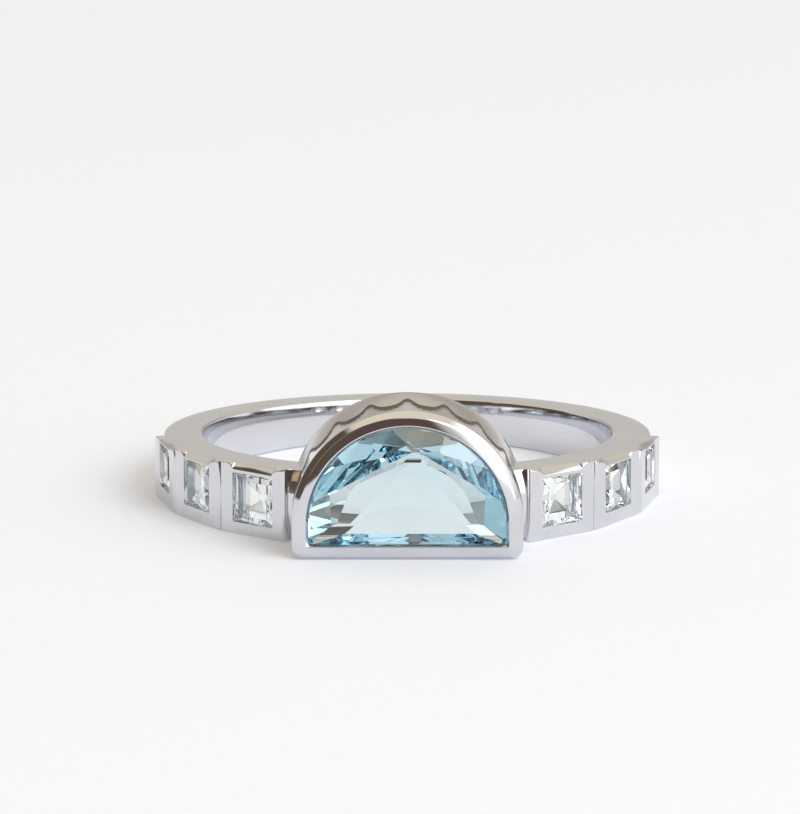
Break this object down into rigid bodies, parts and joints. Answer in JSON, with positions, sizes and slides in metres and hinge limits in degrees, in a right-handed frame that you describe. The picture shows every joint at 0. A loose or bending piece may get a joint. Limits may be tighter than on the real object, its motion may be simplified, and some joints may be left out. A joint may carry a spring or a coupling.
{
  "type": "stackable half-moon ring",
  "caption": "Stackable finger ring with an open-backed half-moon bezel, a scalloped gallery and square stones in box settings along both shoulders.",
  "frame": {"origin": "on the axis of the finger hole, in the plane of the lower edges on which the ring rests", "axes": "+Z along the finger hole, up from the surface it lies on; the half-moon setting faces -Y; +X is to the right of the setting seen from its front"},
  "size_m": [0.0208, 0.023, 0.0061],
  "materials": {
    "polished_metal": "mirror-polished white metal",
    "pale_blue_stone": "faceted and polished",
    "clear_stone": "faceted and polished"
  },
  "bodies": {
    "root": {"ring_metal": "polished_metal", "half_moon_stone": "pale_blue_stone", "square_stone_left_1": "clear_stone", "square_stone_left_2": "clear_stone", "square_stone_left_3": "clear_stone", "square_stone_right_1": "clear_stone", "square_stone_right_2": "clear_stone", "square_stone_right_3": "clear_stone"}
  },
  "joints": []
}
